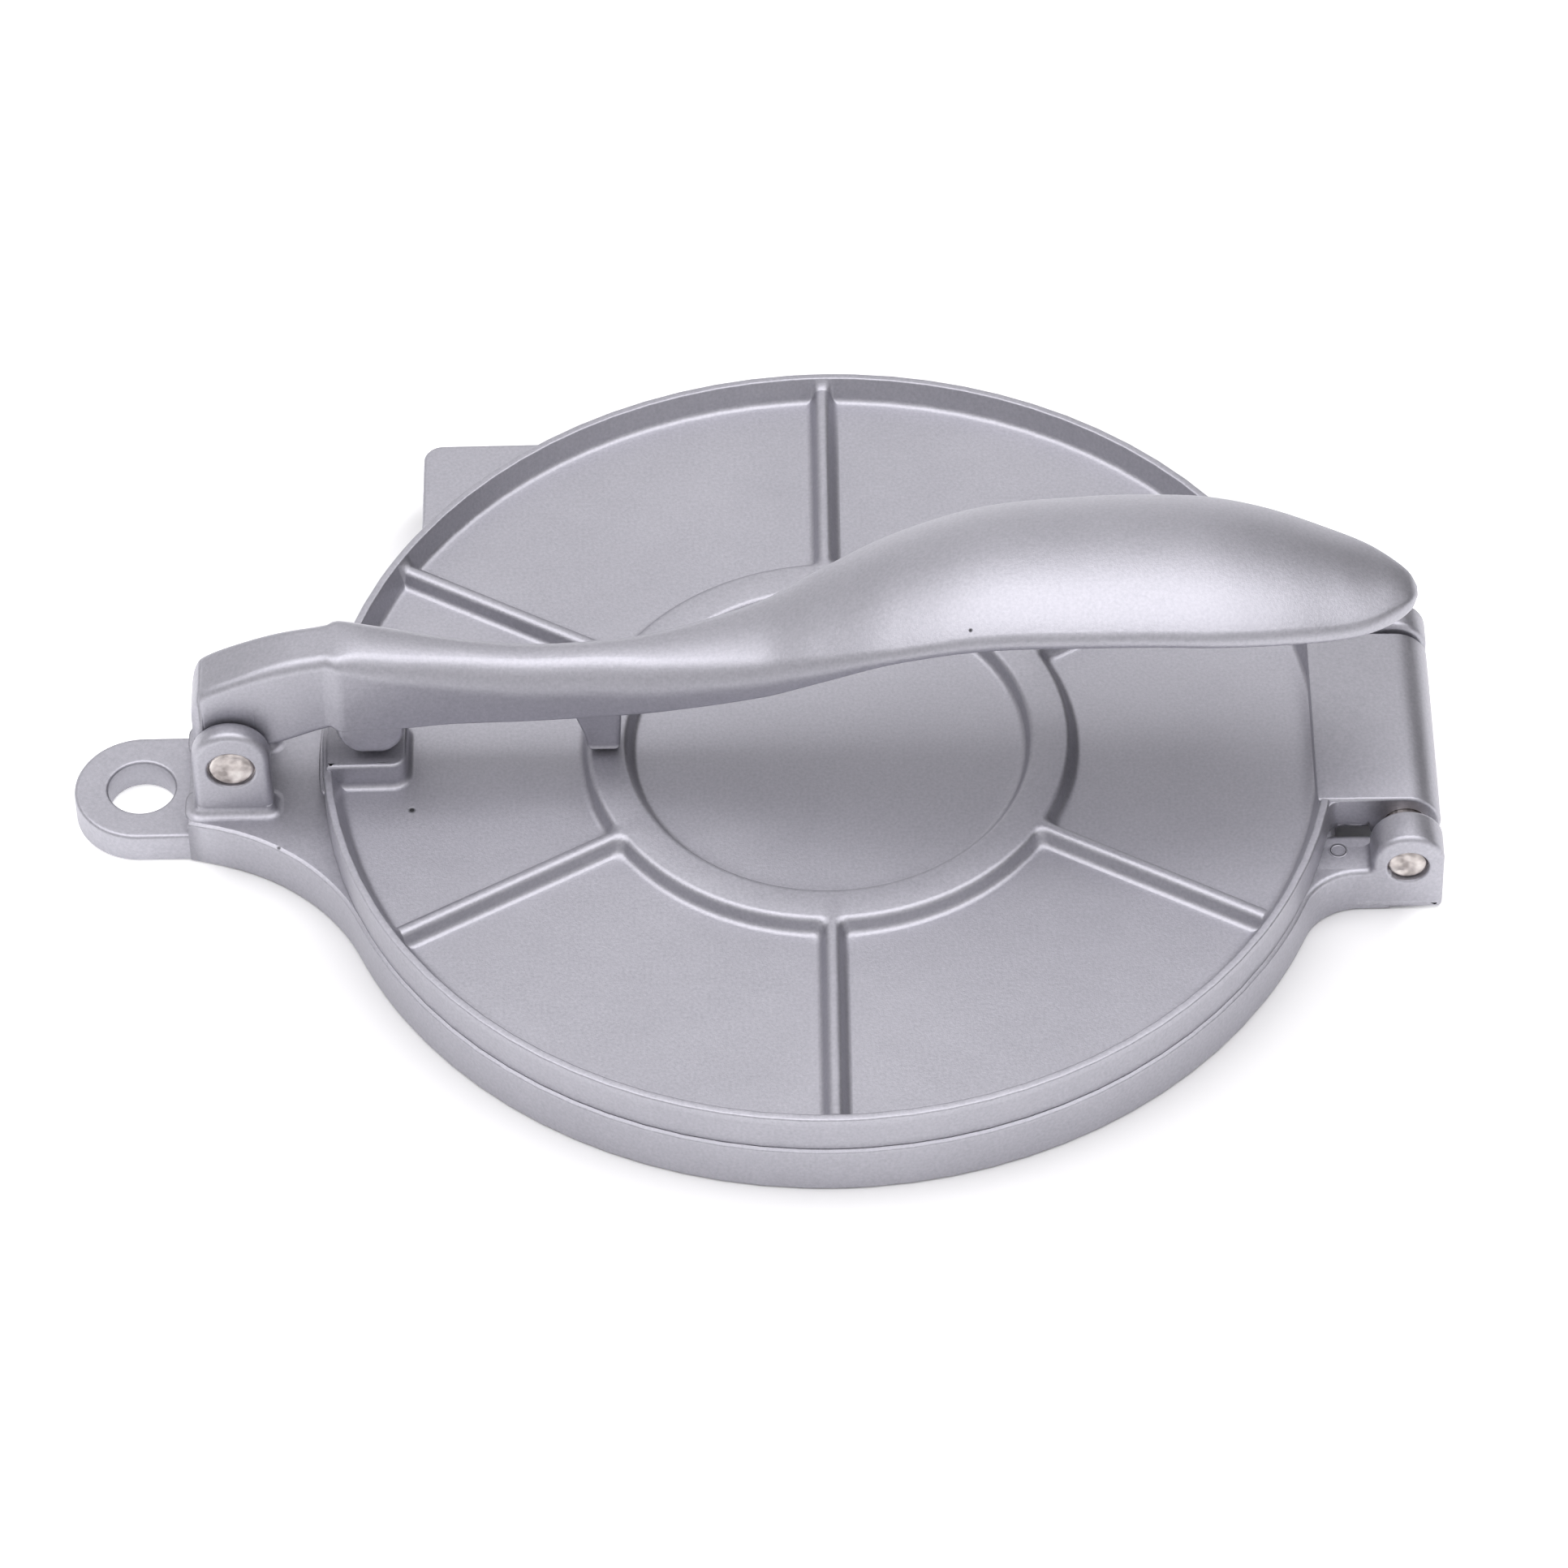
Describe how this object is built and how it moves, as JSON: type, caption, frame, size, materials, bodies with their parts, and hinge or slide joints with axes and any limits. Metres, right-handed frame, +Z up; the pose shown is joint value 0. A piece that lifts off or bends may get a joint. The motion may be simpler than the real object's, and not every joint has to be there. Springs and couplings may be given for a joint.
{
  "type": "tortilla press",
  "caption": "Hand press with a cast base, a ribbed round lid on a hinge pin and a curved lever on a pivot pin that bears on a pad at the lid's edge.",
  "frame": {"origin": "on the table under the centre of the round plates, at the foot of the base's hub", "axes": "+X runs from the hanging eye and lever pivot towards the lid's hinge, +Z is up, +Y completes a right-handed frame"},
  "size_m": [0.2736, 0.2046, 0.0717],
  "materials": {
    "casting": "satin silver coat on a die casting, fine grain",
    "pin_steel": "bare steel, ends peened"
  },
  "bodies": {
    "base": {"base": "casting", "hinge_pin": "pin_steel", "lever_pin": "pin_steel"},
    "lid": {"lid": "casting"},
    "lever": {"lever": "casting"}
  },
  "joints": [
    {"name": "lever_pivot", "type": "hinge", "parent": "base", "child": "lever", "pos_m": [-0.119, 0, 0.0237], "axis": [0, -1, 0], "range_deg": [0, 115]},
    {"name": "lid_hinge", "type": "hinge", "parent": "base", "child": "lid", "pos_m": [0.1143, 0, 0.0122], "axis": [0, 1, 0], "range_deg": [0, 180]}
  ],
  "couplings": [
    {"joint": "lid_hinge", "follows": "lever_pivot", "ratio": 0.11}
  ]
}
